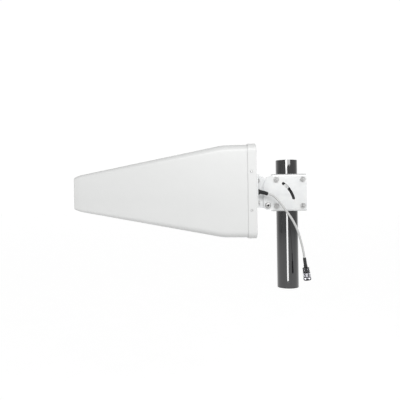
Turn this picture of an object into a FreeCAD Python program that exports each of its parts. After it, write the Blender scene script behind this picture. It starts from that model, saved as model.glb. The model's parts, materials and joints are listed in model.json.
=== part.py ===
"""Log-periodic antenna in a tapered radome, held beside a mast by a tilting bracket, with its coaxial pigtail.

Millimetres, +Z up. The origin is the centre of the mast tube's lower end. The radome's nose points
along -X, the bracket's open face looks along -Y, and the cable hangs in front of the bracket.
Every driving size is a cell of the sheet. A Size is a number that keeps its cell expression, so
ordinary arithmetic gives both the value and the expression that a property is bound to.
"""
import FreeCAD, Part
import Sketcher
import math
import os
from types import SimpleNamespace

Vector = FreeCAD.Vector

SIZES = {
    # Mast tube
    "mast_radius": 25, "mast_wall": 2, "mast_long": 298,
    # Mast bracket: a channel whose flat face is the plate, and its ear to the left
    "bracket_up": 222, "plate_back": -33, "plate_thick": 2.5, "plate_half": 37.5, "plate_right": 39,
    "plate_left": -60, "channel_half": 38.5, "flange_half": 42.5, "flange_back": -8, "bend_radius": 5,
    "body_gap": 0.3, "ear_neck": 6, "ear_flat": 4, "ear_round": 9.5, "ear_corner": 4, "ear_radius": 10,
    "ear_top": 237, "ear_slant": -53,
    "bolt_spread": 30, "rod_radius": 3, "rod_front": -44.6, "clear_hole": 3.3,
    "nut_corner": 5.77, "nut_high": 5, "washer_radius": 6, "washer_thick": 1.2, "thread_gap": 0.05,
    # Tilt pivot and its slot
    "pivot_across": -50, "pivot_up": 193, "pivot_radius": 4, "pivot_gap": 0.05,
    "pivot_head": 7, "pivot_head_high": 3.6, "socket_corner": 2.89, "socket_deep": 2.4,
    "pivot_nut_corner": 7.5, "pivot_nut_high": 6.5, "slot_radius": 61, "slot_half": 3.25,
    "slot_low": 15.1, "slot_high": 54.3, "pin_angle": 45, "pin_radius": 2.9, "pin_rivet": 4.5,
    "pin_proud": 0.4, "pin_neck": 2.45, "pin_rivet_high": 1.4, "friction_radius": 9.5, "friction_thick": 0.4,
    "rear_washer_radius": 8.5, "rear_washer_thick": 1.6, "rear_washer_gap": 0.1, "pivot_clear": 0.2,
    "screw_past_nut": 1,
    # Antenna arm: a flange on the rear cap, bent into a web behind the plate
    "arm_up": 226, "arm_half": 37.5, "arm_thick": 3, "arm_left": -79.3, "arm_front": -70,
    "lip_reach": 6.5, "lip_thick": 2.5, "web_top": 261,
    "web_front": -32.5, "web_thick": 2.5, "arm_bolt_up": 224, "arm_bolt_spread": 25, "arm_bolt_end": -91,
    "arm_bolt_head": 4, "lip_gap": 4, "gland_port": 8, "web_inset": 4, "finger_side": 4.5, "finger_reach": 6,
    "heel_across": 10, "heel_down": 7, "knee_across": 13, "thigh_across": 14.5, "thigh_up": 8,
    "web_slant": 6, "web_shoulder": 14,
    # Radome and its rear cap
    "radome_mid": -50, "radome_up": 226, "radome_wall": 2.5, "radome_back": -83.5, "radome_back_high": 206,
    "radome_back_thick": 62, "radome_bend": -154.5, "radome_bend_high": 204, "radome_bend_thick": 61,
    "shoulder": -471.5, "shoulder_high": 81, "shoulder_thick": 38, "tip": -484, "tip_high": 70,
    "tip_thick": 34, "corner_back": 16, "corner_shoulder": 8, "corner_tip": 6.5,
    "cap_back": -80.5, "cap_wall": 2.5, "skirt_long": 19, "cap_high": 210, "cap_thick": 65,
    "cap_corner": 17.5, "cap_inner_high": 206.4, "cap_inner_thick": 62.4, "cap_inner_corner": 16.2,
    "gasket_wide": 2.3, "cap_screw_across": -92, "cap_screw_spread": 42.5, "cap_screw_radius": 1.4,
    "cap_screw_head": 2.9, "cap_screw_head_high": 1.6, "cap_screw_long": 6, "cap_recess": 1.3,
    "cap_recess_deep": 1, "tip_round": 1.5, "cap_round": 2, "gasket_inset": 0.1,
    # Antenna inside: two booms side by side, with alternating rods
    "boom_side": 10, "boom_wall": 1, "boom_gap": 4, "boom_back": -102, "boom_front": -472,
    "first_dipole": -106, "first_half": 92, "first_step": 55.2, "dipole_ratio": 0.885, "rod_thin": 2.2,
    "feed_screw_radius": 1.2, "end_plug_proud": 1, "end_plug_long": 11, "bridge_thick": 1,
    "spacer_long": 10, "spacer_screw": 1, "spacer_screw_drop": 2.9, "small_head": 2, "small_head_high": 1.2,
    "feed_screw_long": 8, "shorting_long": 16, "backing_thick": 3, "backing_half_wide": 16,
    "backing_half_high": 34, "backing_port": 10, "foot_thick": 2, "foot_high": 27, "shelf_front": -142,
    "shelf_screw_front": -131, "shelf_screw_back": -117, "shelf_screw": 1.2, "shelf_screw_head": 2.4,
    "shelf_screw_head_high": 1.4, "shelf_hole": 1.3, "rod_clear": 0.3, "support_thick": 5,
    "support_front": -456.5, "support_wide": 33, "support_high": 79, "support_corner": 6, "window_gap": 0.2,
    # Coaxial cable, gland and plug
    "coax_radius": 2.5, "coax_stripped": 1.8, "coax_gap": 0.05, "gland_radius": 6, "gland_face": -74,
    "gland_nut": 8.5, "gland_nut_thick": 3, "gland_dome": 7.4, "gland_lip": 6.6, "feed_lead": 6, "feed_turn": 3,
    "boot_base": 6.1, "boot_waist": 4.7, "boot_neck": 3.7, "boot_collar": 2.5, "boot_waist_from": 7,
    "boot_waist_to": 14,
    "plug_boot_long": 22.2, "plug_boot_top": 3.5, "plug_boot_low": 4.1, "plug_body_radius": 7.5,
    "plug_body_long": 10.5, "nut_outer": 9.1, "nut_inner": 7.7, "nut_neck": 6, "nut_long": 17.8,
    "nut_wall": 3.4, "nut_play": 0.3, "contact_outer": 4.1, "contact_inner": 3.5, "contact_pin": 0.82,
    "plug_flange_long": 1.5, "sleeve_long": 6.3, "plug_chamfer": 0.8, "plug_groove": 0.7, "seal_thick": 1.3,
    "insulator_short": 3, "pin_short": 1.2, "pin_point": 0.3, "plug_boot_waist": 3.7, "plug_boot_step": 8,
    "plug_boot_ring": 6, "plug_groove_at": 4, "plug_flange_in": 0.5, "nut_step": 0.2, "nut_groove": 0.9,
    "nut_bore_gap": 0.1, "nut_ring_at": 10.4, "nut_chamfer": 1.3,
}

doc = FreeCAD.newDocument("radome_antenna")
sheet = doc.addObject("Spreadsheet::Sheet", "Sizes")
for row, (alias, number) in enumerate(SIZES.items(), start=1):
    sheet.set(f"A{row}", alias)
    sheet.set(f"B{row}", str(number))
    sheet.setAlias(f"B{row}", alias)
doc.recompute()


class Size(float):
    """A number that remembers the cell expression it was worked out from."""

    def __new__(cls, number, text=None):
        made = super().__new__(cls, number)
        made.text = text or f"{float(number):.6f}"
        return made

    def __add__(self, other):
        return joined(float(self) + float(other), self, "+", other)

    def __radd__(self, other):
        return joined(float(other) + float(self), other, "+", self)

    def __sub__(self, other):
        return joined(float(self) - float(other), self, "-", other)

    def __rsub__(self, other):
        return joined(float(other) - float(self), other, "-", self)

    def __mul__(self, other):
        return joined(float(self) * float(other), self, "*", other)

    def __rmul__(self, other):
        return joined(float(other) * float(self), other, "*", self)

    def __truediv__(self, other):
        return joined(float(self) / float(other), self, "/", other)

    def __pow__(self, other):
        return joined(float(self) ** float(other), self, "^", other)

    def __neg__(self):
        return joined(-float(self), 0, "-", self)


def as_size(number):
    return number if isinstance(number, Size) else Size(number)


def joined(number, left, sign, right):
    return Size(number, f"({as_size(left).text} {sign} {as_size(right).text})")


S = SimpleNamespace(**{alias: Size(number, f"Sizes.{alias}") for alias, number in SIZES.items()})

# Which way a primitive's own +Z, or a turned piece's axis, points
TURNS = {
    "+X": FreeCAD.Rotation(Vector(0, 1, 0), 90),
    "-X": FreeCAD.Rotation(Vector(0, 1, 0), -90),
    "+Y": FreeCAD.Rotation(Vector(1, 0, 0), -90),
    "-Y": FreeCAD.Rotation(Vector(1, 0, 0), 90),
    "+Z": FreeCAD.Rotation(),
    "-Z": FreeCAD.Rotation(Vector(1, 0, 0), 180),
}
NODES = []


def bind(thing, prop, size):
    thing.setExpression(prop, as_size(size).text)


def put(piece, at, turn):
    """Turns a piece, and binds its place to the sheet."""
    rotation = TURNS[turn] if isinstance(turn, str) else turn
    piece.Placement = FreeCAD.Placement(Vector(*map(float, at)), rotation)
    for letter, size in zip("xyz", at):
        bind(piece, f"Placement.Base.{letter}", size)
    return piece


def node(name, piece):
    """Names a finished sub-part."""
    piece.Label = name
    NODES.append(piece)
    return piece


# --- primitives and booleans -------------------------------------------------------------------

def box(low, high):
    """A box from its lowest corner to its highest."""
    piece = doc.addObject("Part::Box", "Box")
    for prop, start, end in zip(("Length", "Width", "Height"), low, high):
        bind(piece, prop, as_size(end) - start)
    return put(piece, low, "+Z")


def cylinder(radius, long, at, turn="+Z"):
    piece = doc.addObject("Part::Cylinder", "Cylinder")
    bind(piece, "Radius", radius)
    bind(piece, "Height", long)
    return put(piece, at, turn)


def hexagon(corner, long, at, turn="+Z"):
    piece = doc.addObject("Part::Prism", "Prism")
    piece.Polygon = 6
    bind(piece, "Circumradius", corner)
    bind(piece, "Height", long)
    return put(piece, at, turn)


def fuse(*pieces):
    made = doc.addObject("Part::MultiFuse", "Fusion")
    made.Shapes = list(pieces)
    return made


def cut(base, *tools):
    made = doc.addObject("Part::Cut", "Cut")
    made.Base = base
    made.Tool = tools[0] if len(tools) == 1 else fuse(*tools)
    return made


def group(*pieces):
    """Separate solids that share one node."""
    made = doc.addObject("Part::Compound", "Group")
    made.Links = list(pieces)
    return made


# --- PartDesign ----------------------------------------------------------------------------------

def body_of(name):
    return node(name, doc.addObject("PartDesign::Body", name))


def sketch_on(body, plane, offset=0):
    """A sketch on one of the body's own planes, moved along the plane's normal."""
    sketch = body.newObject("Sketcher::SketchObject", "Sketch")
    origin_plane = next(f for f in body.Origin.OriginFeatures if f.Role == plane)
    sketch.AttachmentSupport = [(origin_plane, "")]
    sketch.MapMode = "FlatFace"
    bind(sketch, "AttachmentOffset.Base.z", offset)
    return sketch


def hold(sketch, edge, point, across, up):
    """Holds a point of an edge at its distances from the sketch's origin."""
    for kind, size in (("DistanceX", across), ("DistanceY", up)):
        index = sketch.addConstraint(Sketcher.Constraint(kind, -1, 1, edge, point, float(size)))
        bind(sketch, f"Constraints[{index}]", size)


def hold_radius(sketch, edge, radius):
    index = sketch.addConstraint(Sketcher.Constraint("Radius", edge, float(radius)))
    bind(sketch, f"Constraints[{index}]", radius)


def outline(sketch, corners):
    """A closed outline of straight edges through the corners."""
    first = sketch.GeometryCount
    count = len(corners)
    for i, corner in enumerate(corners):
        start = Vector(float(corner[0]), float(corner[1]), 0)
        after = corners[(i + 1) % count]
        sketch.addGeometry(Part.LineSegment(start, Vector(float(after[0]), float(after[1]), 0)))
    for i in range(count):
        sketch.addConstraint(Sketcher.Constraint("Coincident", first + i, 2, first + (i + 1) % count, 1))
    for i, (across, up) in enumerate(corners):
        hold(sketch, first + i, 1, across, up)
    return sketch


def hole(sketch, across, up, radius):
    edge = sketch.addGeometry(Part.Circle(Vector(float(across), float(up), 0), Vector(0, 0, 1), float(radius)))
    hold(sketch, edge, 3, across, up)
    hold_radius(sketch, edge, radius)


def rounded_rectangle(sketch, middle, wide, high, corner):
    """Four edges joined by four tangent arcs, about the middle."""
    signs = ((1, 1), (-1, 1), (-1, -1), (1, -1))
    centres = [(middle[0] + (wide / 2 - corner) * a, middle[1] + (high / 2 - corner) * b) for a, b in signs]
    radius = float(corner)
    first = sketch.GeometryCount
    for i, (across, up) in enumerate(centres):
        circle = Part.Circle(Vector(float(across), float(up), 0), Vector(0, 0, 1), radius)
        turn = i * math.pi / 2
        sketch.addGeometry(Part.ArcOfCircle(circle, turn, turn + math.pi / 2))
    for i, (across, up) in enumerate(centres):
        end = (i + 1) * math.pi / 2
        reach = Vector(math.cos(end), math.sin(end), 0) * radius
        after = centres[(i + 1) % 4]
        start = Vector(float(across), float(up), 0) + reach
        sketch.addGeometry(Part.LineSegment(start, Vector(float(after[0]), float(after[1]), 0) + reach))
    for i, (across, up) in enumerate(centres):
        hold(sketch, first + i, 3, across, up)
        hold_radius(sketch, first + i, corner)
        line = first + 4 + i
        sketch.addConstraint(Sketcher.Constraint("Tangent", first + i, 2, line, 1))
        sketch.addConstraint(Sketcher.Constraint("Tangent", line, 2, first + (i + 1) % 4, 1))
    return sketch


def feature(body, kind, sketch):
    made = body.newObject(f"PartDesign::{kind}", kind)
    made.Profile = sketch
    sketch.Visibility = False
    return made


def pad(body, sketch, long, reverse=False):
    made = feature(body, "Pad", sketch)
    bind(made, "Length", long)
    made.Reversed = reverse
    return made


def pocket(body, sketch, deep):
    """Cuts against the sketch's normal."""
    made = feature(body, "Pocket", sketch)
    bind(made, "Length", deep)
    return made


def loft(body, kind, sections):
    made = feature(body, kind, sections[0])
    made.Sections = sections[1:]
    made.Ruled = True
    return made


def round_edges(body, middles, radius):
    """Fillets the edges of the body's last feature whose middles are the given points."""
    doc.recompute()
    last = body.Tip
    names = []
    for i, edge in enumerate(last.Shape.Edges, start=1):
        if any((edge.CenterOfMass - Vector(*map(float, p))).Length < 0.2 for p in middles):
            names.append(f"Edge{i}")
    if len(names) != len(middles):
        raise ValueError(f"{body.Label}: {len(names)} edges found for {len(middles)} middles")
    made = body.newObject("PartDesign::Fillet", "Fillet")
    made.Base = (last, names)
    bind(made, "Radius", radius)
    return made


def turned(name, profile, at, turn):
    """A piece turned about its own +Z, from a profile of (radius, distance along the axis) corners."""
    body = body_of(name)
    sketch = outline(sketch_on(body, "XZ_Plane"), profile)
    made = feature(body, "Revolution", sketch)
    made.ReferenceAxis = (sketch, ["V_Axis"])
    made.Angle = 360
    put(body, at, turn)
    return body


# --- cords ---------------------------------------------------------------------------------------

def routed_tube(points, radius, name):
    """A round tube along straight runs joined by tangent arcs. The arcs are as large as the runs allow."""
    route = [Vector(*map(float, p)) for p in points]
    edges = []
    start = route[0]
    radii = []
    for before, corner, after in zip(route, route[1:], route[2:]):
        back = (before - corner).normalize()
        on = (after - corner).normalize()
        half_turn = (math.pi - back.getAngle(on)) / 2
        reach = 0.45 * min((before - corner).Length, (after - corner).Length)
        bend = reach / math.tan(half_turn)
        radii.append(bend)
        middle = (back + on).normalize() * (bend / math.cos(half_turn) - bend)
        arc = Part.Arc(corner + back * reach, corner + middle, corner + on * reach)
        edges.append(Part.LineSegment(start, corner + back * reach).toShape())
        edges.append(arc.toShape())
        start = corner + on * reach
    edges.append(Part.LineSegment(start, route[-1]).toShape())
    path = Part.Wire(edges)
    circle = Part.Circle(route[0], route[1] - route[0], float(radius))
    tube = path.makePipeShell([Part.Wire([circle.toShape()])], True, False)
    print(f"{name}: {path.Length:.1f} mm long, radii", " ".join(f"{r:.0f}" for r in radii))
    expected = math.pi * float(radius) ** 2 * path.Length
    if abs(tube.Volume / expected - 1) > 0.01:
        raise ValueError(f"{name}: volume {tube.Volume:.0f}, section times length {expected:.0f}")
    made = doc.addObject("Part::Feature", name)
    made.Shape = tube
    made.Placement = FreeCAD.Placement()
    return node(name, made)


# --- the mast and its bracket --------------------------------------------------------------------

def make_mast():
    inner = S.mast_radius - S.mast_wall
    outside = cylinder(S.mast_radius, S.mast_long, (0, 0, 0))
    node("mast_tube", cut(outside, cylinder(inner, S.mast_long, (0, 0, 0))))


PLATE_FRONT = S.plate_back - S.plate_thick
PLATE_TOP = S.bracket_up + S.plate_half
PLATE_BOTTOM = S.bracket_up - S.plate_half
U_BOLT_HEIGHTS = {"upper": S.bracket_up + S.bolt_spread, "lower": S.bracket_up - S.bolt_spread}


def make_mast_bracket():
    """A channel bent from plate: flat face in front, flanges back to the mast, and an ear at the pivot."""
    body = body_of("mast_bracket")
    inner_face = S.flange_half - S.plate_thick
    channel = [(S.flange_back, S.bracket_up + S.flange_half), (PLATE_FRONT, S.bracket_up + S.flange_half),
               (PLATE_FRONT, S.bracket_up - S.flange_half), (S.flange_back, S.bracket_up - S.flange_half),
               (S.flange_back, S.bracket_up - inner_face), (S.plate_back, S.bracket_up - inner_face),
               (S.plate_back, S.bracket_up + inner_face), (S.flange_back, S.bracket_up + inner_face)]
    pad(body, outline(sketch_on(body, "YZ_Plane", -S.channel_half), channel), 2 * S.channel_half)
    round_edges(body, [(0, PLATE_FRONT, S.bracket_up + S.flange_half * side) for side in (1, -1)], S.bend_radius)
    round_edges(body, [(0, S.plate_back, S.bracket_up + inner_face * side) for side in (1, -1)],
                S.bend_radius - S.plate_thick)
    ear_low = S.pivot_up - S.ear_radius
    plate = [(S.plate_left, S.ear_top), (S.ear_slant, PLATE_TOP), (S.plate_right, PLATE_TOP),
             (S.plate_right, PLATE_BOTTOM), (-S.channel_half - S.ear_neck, PLATE_BOTTOM),
             (S.pivot_across + S.ear_flat, ear_low), (S.plate_left, ear_low)]
    pad(body, outline(sketch_on(body, "XZ_Plane", -S.plate_back), plate), S.plate_thick)
    middle = S.plate_back - S.plate_thick / 2
    round_edges(body, [(S.plate_left, middle, ear_low)], S.ear_round)
    round_edges(body, [(S.ear_slant, middle, PLATE_TOP)], S.ear_corner)
    cutter = sketch_on(body, "XY_Plane", S.bracket_up + S.flange_half + 1)
    hole(cutter, 0, 0, S.mast_radius + S.body_gap)
    pocket(body, cutter, 2 * S.flange_half + 2)
    holes = sketch_on(body, "XZ_Plane", -PLATE_FRONT + 1)
    for across in (S.bolt_spread, -S.bolt_spread):
        for up in U_BOLT_HEIGHTS.values():
            hole(holes, across, up, S.clear_hole)
    hole(holes, S.pivot_across, S.pivot_up, S.pivot_radius + S.pivot_clear)
    pocket(body, holes, S.plate_thick + 2)
    slot = sketch_on(body, "XZ_Plane", -PLATE_FRONT + 1)
    arc_slot(slot)
    pocket(body, slot, S.plate_thick + 2)


def around_pivot(radius, degrees):
    """The point at a radius and an angle about the pivot, in the plate's plane."""
    angle = as_size(degrees)
    cosine = Size(math.cos(math.radians(float(angle))), f"cos({angle.text})")
    sine = Size(math.sin(math.radians(float(angle))), f"sin({angle.text})")
    return S.pivot_across + radius * cosine, S.pivot_up + radius * sine


def arc_slot(sketch):
    """A slot along an arc about the pivot, with round ends."""
    centre = Vector(float(S.pivot_across), float(S.pivot_up), 0)
    low, high = math.radians(float(S.slot_low)), math.radians(float(S.slot_high))
    for radius in (S.slot_radius + S.slot_half, S.slot_radius - S.slot_half):
        edge = sketch.addGeometry(Part.ArcOfCircle(Part.Circle(centre, Vector(0, 0, 1), float(radius)), low, high))
        hold(sketch, edge, 3, S.pivot_across, S.pivot_up)
        hold_radius(sketch, edge, radius)
    ends = ((S.slot_low, low + math.pi, low + 2 * math.pi), (S.slot_high, high, high + math.pi))
    for degrees, start, stop in ends:
        across, up = around_pivot(S.slot_radius, degrees)
        circle = Part.Circle(Vector(float(across), float(up), 0), Vector(0, 0, 1), float(S.slot_half))
        edge = sketch.addGeometry(Part.ArcOfCircle(circle, start, stop))
        index = sketch.addConstraint(Sketcher.Constraint("DistanceX", -1, 1, edge, 3, float(across)))
        bind(sketch, f"Constraints[{index}]", across)
    for end, end_point, arc, arc_point in ((2, 2, 0, 1), (2, 1, 1, 1), (3, 1, 0, 2), (3, 2, 1, 2)):
        sketch.addConstraint(Sketcher.Constraint("Tangent", end, end_point, arc, arc_point))


def make_u_bolts():
    """Each clamps the mast against the bracket: two legs and a half ring behind the mast."""
    bend_back = S.mast_radius + S.body_gap - (S.bolt_spread - S.rod_radius)
    for name, up in U_BOLT_HEIGHTS.items():
        legs = [cylinder(S.rod_radius, bend_back - S.rod_front, (across, S.rod_front, up), "+Y")
                for across in (S.bolt_spread, -S.bolt_spread)]
        ring = doc.addObject("Part::Torus", "Ring")
        bind(ring, "Radius1", S.bolt_spread)
        bind(ring, "Radius2", S.rod_radius)
        bind(ring, "Angle3", 180)
        put(ring, (0, bend_back, up), "+Z")
        node(f"{name}_u_bolt", fuse(ring, *legs))
    nuts = []
    washers = []
    washer_front = PLATE_FRONT - S.washer_thick
    for across in (S.bolt_spread, -S.bolt_spread):
        for up in U_BOLT_HEIGHTS.values():
            washers.append(cut(cylinder(S.washer_radius, S.washer_thick, (across, PLATE_FRONT, up), "-Y"),
                               cylinder(S.rod_radius + S.thread_gap, S.washer_thick, (across, PLATE_FRONT, up), "-Y")))
            nuts.append(cut(hexagon(S.nut_corner, S.nut_high, (across, washer_front, up), "-Y"),
                            cylinder(S.rod_radius + S.thread_gap, S.nut_high, (across, washer_front, up), "-Y")))
    node("u_bolt_nuts", group(*nuts))
    node("u_bolt_washers", group(*washers))


def make_pivot():
    """Button-head screw through plate and web, with a friction washer between them and a locknut behind."""
    across, up = S.pivot_across, S.pivot_up
    web_back = S.web_front + S.web_thick
    washer_front = web_back + S.rear_washer_gap
    washer_back = washer_front + S.rear_washer_thick
    screw_end = washer_back + S.pivot_nut_high + S.screw_past_nut
    shank = cylinder(S.pivot_radius, screw_end - PLATE_FRONT, (across, PLATE_FRONT, up), "+Y")
    head = cylinder(S.pivot_head, S.pivot_head_high, (across, PLATE_FRONT, up), "-Y")
    socket_floor = PLATE_FRONT - S.pivot_head_high + S.socket_deep
    socket = hexagon(S.socket_corner, S.socket_deep, (across, socket_floor, up), "-Y")
    node("pivot_screw", cut(fuse(shank, head), socket))
    friction = cylinder(S.friction_radius, S.friction_thick, (across, S.plate_back, up), "+Y")
    behind = cylinder(S.rear_washer_radius, S.rear_washer_thick, (across, washer_front, up), "+Y")
    bores = [cylinder(S.pivot_radius + S.pivot_gap, 2, (across, y, up), "+Y") for y in (S.plate_back, web_back)]
    node("pivot_washers", group(cut(friction, bores[0]), cut(behind, bores[1])))
    bore = cylinder(S.pivot_radius + S.thread_gap, S.pivot_nut_high, (across, washer_back, up), "+Y")
    node("pivot_nut", cut(hexagon(S.pivot_nut_corner, S.pivot_nut_high, (across, washer_back, up), "+Y"), bore))


# --- the antenna's arm ---------------------------------------------------------------------------

ARM_FLANGE_RIGHT = S.arm_left + S.arm_thick
ARM_BOLT_HEIGHTS = (S.arm_bolt_up + S.arm_bolt_spread, S.arm_bolt_up - S.arm_bolt_spread)
PIN = around_pivot(S.slot_radius, S.pin_angle)


def make_antenna_arm():
    """A flange on the rear cap, and a web behind the plate with a finger that carries the guide pin."""
    body = body_of("antenna_arm")
    low = S.arm_up - S.arm_half
    high = S.arm_up + S.arm_half
    web_back = S.web_front + S.web_thick
    face = [(S.arm_front, low), (web_back, low), (web_back, high), (S.arm_front, high)]
    pad(body, outline(sketch_on(body, "YZ_Plane", S.arm_left), face), S.arm_thick)
    for edge, inward in ((low, 1), (high, -1)):
        lip_back = S.plate_back - S.lip_gap
        lip = [(S.arm_front, edge), (lip_back, edge), (lip_back, edge + S.lip_thick * inward),
               (S.arm_front, edge + S.lip_thick * inward)]
        pad(body, outline(sketch_on(body, "YZ_Plane", S.arm_left), lip), S.lip_reach)
    shin = [(S.pivot_across + S.heel_across, S.pivot_up - S.heel_down),
            (S.pivot_across + S.knee_across, S.pivot_up),
            (S.pivot_across + S.thigh_across, S.pivot_up + S.thigh_up)]
    finger = [around_pivot(S.slot_radius, 39.5), around_pivot(S.slot_radius + S.finger_side, 40.5),
              around_pivot(S.slot_radius + S.finger_reach, 45), around_pivot(S.slot_radius + S.finger_side, 49.5)]
    arc = [around_pivot(S.slot_radius - S.web_inset, degrees) for degrees in (52, 66, 81, 96)]
    shoulder = [(S.pivot_across - S.web_slant, S.web_top - S.web_slant),
                (S.pivot_across - S.web_shoulder, S.web_top)]
    root = ARM_FLANGE_RIGHT - 1
    web = [(root, low), *shin, *finger, *arc, *shoulder, (root, S.web_top)]
    pad(body, outline(sketch_on(body, "XZ_Plane", -web_back), web), S.web_thick)
    holes = sketch_on(body, "XZ_Plane", -S.web_front + 1)
    hole(holes, S.pivot_across, S.pivot_up, S.pivot_radius + S.pivot_gap)
    hole(holes, *PIN, S.pin_neck + S.thread_gap)
    pocket(body, holes, S.web_thick + 2)
    drilled = sketch_on(body, "YZ_Plane", ARM_FLANGE_RIGHT + 1)
    for up in ARM_BOLT_HEIGHTS:
        hole(drilled, S.radome_mid, up, S.clear_hole)
    hole(drilled, S.radome_mid, S.arm_bolt_up, S.gland_port)
    pocket(body, drilled, S.arm_thick + 2)
    pin_front = PLATE_FRONT - S.pin_proud
    shank = cylinder(S.pin_radius, S.web_front - pin_front, (PIN[0], pin_front, PIN[1]), "+Y")
    neck = cylinder(S.pin_neck, S.web_thick, (PIN[0], S.web_front, PIN[1]), "+Y")
    rivet = cylinder(S.pin_rivet, S.pin_rivet_high, (PIN[0], web_back, PIN[1]), "+Y")
    node("guide_pin", fuse(shank, neck, rivet))


def make_arm_bolts():
    bolts = []
    washers = []
    head = ARM_FLANGE_RIGHT + S.washer_thick
    for up in ARM_BOLT_HEIGHTS:
        at = (ARM_FLANGE_RIGHT, S.radome_mid, up)
        washers.append(cut(cylinder(S.washer_radius, S.washer_thick, at, "+X"),
                           cylinder(S.rod_radius + S.thread_gap, S.washer_thick, at, "+X")))
        shank = cylinder(S.rod_radius, head - S.arm_bolt_end, (S.arm_bolt_end, S.radome_mid, up), "+X")
        bolts.append(fuse(hexagon(S.nut_corner, S.arm_bolt_head, (head, S.radome_mid, up), "+X"), shank))
    node("arm_bolts", group(*bolts))
    node("arm_bolt_washers", group(*washers))


# --- radome --------------------------------------------------------------------------------------

MIDDLE = (S.radome_mid, S.radome_up)
SECTIONS = ((S.radome_back, S.radome_back_thick, S.radome_back_high, S.corner_back),
            (S.radome_bend, S.radome_bend_thick, S.radome_bend_high, S.corner_back),
            (S.shoulder, S.shoulder_thick, S.shoulder_high, S.corner_shoulder),
            (S.tip, S.tip_thick, S.tip_high, S.corner_tip))


def cap_screw_holes(body, back):
    """Holes for the cap screws, right through along Y."""
    sketch = sketch_on(body, "XZ_Plane", -back)
    for side in (1, -1):
        hole(sketch, S.cap_screw_across, S.radome_up + S.cap_screw_spread * side,
             S.cap_screw_radius + S.thread_gap)
    return sketch


def make_radome():
    """One moulded shell, open at the back: a short parallel part, a long taper and a blunt nose."""
    body = body_of("radome_shell")
    outside = [rounded_rectangle(sketch_on(body, "YZ_Plane", x), MIDDLE, thick, high, corner)
               for x, thick, high, corner in SECTIONS]
    loft(body, "AdditiveLoft", outside)
    wall = S.radome_wall
    inside = []
    for i, (x, thick, high, corner) in enumerate(SECTIONS):
        place = x + wall if i == len(SECTIONS) - 1 else x
        inside.append(rounded_rectangle(sketch_on(body, "YZ_Plane", place), MIDDLE, thick - 2 * wall,
                                        high - 2 * wall, corner - wall))
    loft(body, "SubtractiveLoft", inside)
    doc.recompute()
    nose = body.Tip
    rim = [i for i, edge in enumerate(nose.Shape.Edges, start=1) if edge.BoundBox.XMax < float(S.tip) + 0.01]
    rounding = body.newObject("PartDesign::Fillet", "Fillet")
    rounding.Base = (nose, [f"Edge{i}" for i in rim])
    bind(rounding, "Radius", S.tip_round)
    front = S.radome_mid - S.cap_thick / 2 - 2
    pocket(body, cap_screw_holes(body, front), S.cap_thick + 4)


def make_rear_cap():
    """A shallow lid whose skirt slides over the radome's open end."""
    body = body_of("rear_cap")
    skirt_front = S.cap_back - S.skirt_long
    lid_sketch = sketch_on(body, "YZ_Plane", skirt_front)
    outer = rounded_rectangle(lid_sketch, MIDDLE, S.cap_thick, S.cap_high, S.cap_corner)
    pad(body, outer, S.skirt_long)
    doc.recompute()
    lid = body.Tip
    rim = [i for i, edge in enumerate(lid.Shape.Edges, start=1) if edge.BoundBox.XMin > float(S.cap_back) - 0.01]
    rounding = body.newObject("PartDesign::Fillet", "Fillet")
    rounding.Base = (lid, [f"Edge{i}" for i in rim])
    bind(rounding, "Radius", S.cap_round)
    cavity_back = S.cap_back - S.cap_wall
    inner = rounded_rectangle(sketch_on(body, "YZ_Plane", cavity_back), MIDDLE, S.cap_inner_thick,
                              S.cap_inner_high, S.cap_inner_corner)
    pocket(body, inner, S.skirt_long - S.cap_wall + 1)
    drilled = sketch_on(body, "YZ_Plane", S.cap_back + 1)
    for up in ARM_BOLT_HEIGHTS:
        hole(drilled, S.radome_mid, up, S.clear_hole)
    hole(drilled, S.radome_mid, S.arm_bolt_up, S.gland_radius + 0.1)
    pocket(body, drilled, S.cap_wall + 2)
    front = S.radome_mid - S.cap_thick / 2 - 2
    pocket(body, cap_screw_holes(body, front), S.cap_thick + 4)

    gasket = body_of("cap_gasket")
    wide = S.radome_back_thick - 2 * S.gasket_inset
    high = S.radome_back_high - 2 * S.gasket_inset
    ring = rounded_rectangle(sketch_on(gasket, "YZ_Plane", S.radome_back), MIDDLE, wide, high, S.corner_back)
    rounded_rectangle(ring, MIDDLE, wide - 2 * S.gasket_wide, high - 2 * S.gasket_wide,
                      S.corner_back - S.gasket_wide)
    pad(gasket, ring, cavity_back - S.radome_back)

    screws = []
    for side, turn, back in ((-1, "-Y", "+Y"), (1, "+Y", "-Y")):
        face = S.radome_mid + S.cap_thick / 2 * side
        for up in (S.radome_up + S.cap_screw_spread, S.radome_up - S.cap_screw_spread):
            at = (S.cap_screw_across, face, up)
            head = cylinder(S.cap_screw_head, S.cap_screw_head_high, at, turn)
            floor = (S.cap_screw_across, face + (S.cap_screw_head_high - S.cap_recess_deep) * side, up)
            recess = hexagon(S.cap_recess, 2 * S.cap_recess_deep, floor, turn)
            screws.append(cut(fuse(head, cylinder(S.cap_screw_radius, S.cap_screw_long, at, back)), recess))
    node("cap_screws", group(*screws))


# --- the antenna inside --------------------------------------------------------------------------

NEAR_BOOM = S.radome_mid - (S.boom_gap + S.boom_side) / 2
FAR_BOOM = S.radome_mid + (S.boom_gap + S.boom_side) / 2
DIPOLES = 12
SPACERS = (-180, -300, -400)
SPACER_SCREW_UP = S.radome_up - S.spacer_screw_drop


def dipole(number):
    """Where a dipole stands along the booms, and how far each half reaches from their axis."""
    shrink = S.dipole_ratio ** number
    return S.first_dipole - S.first_step * (1 - shrink) / (1 - S.dipole_ratio), S.first_half * shrink


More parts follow.
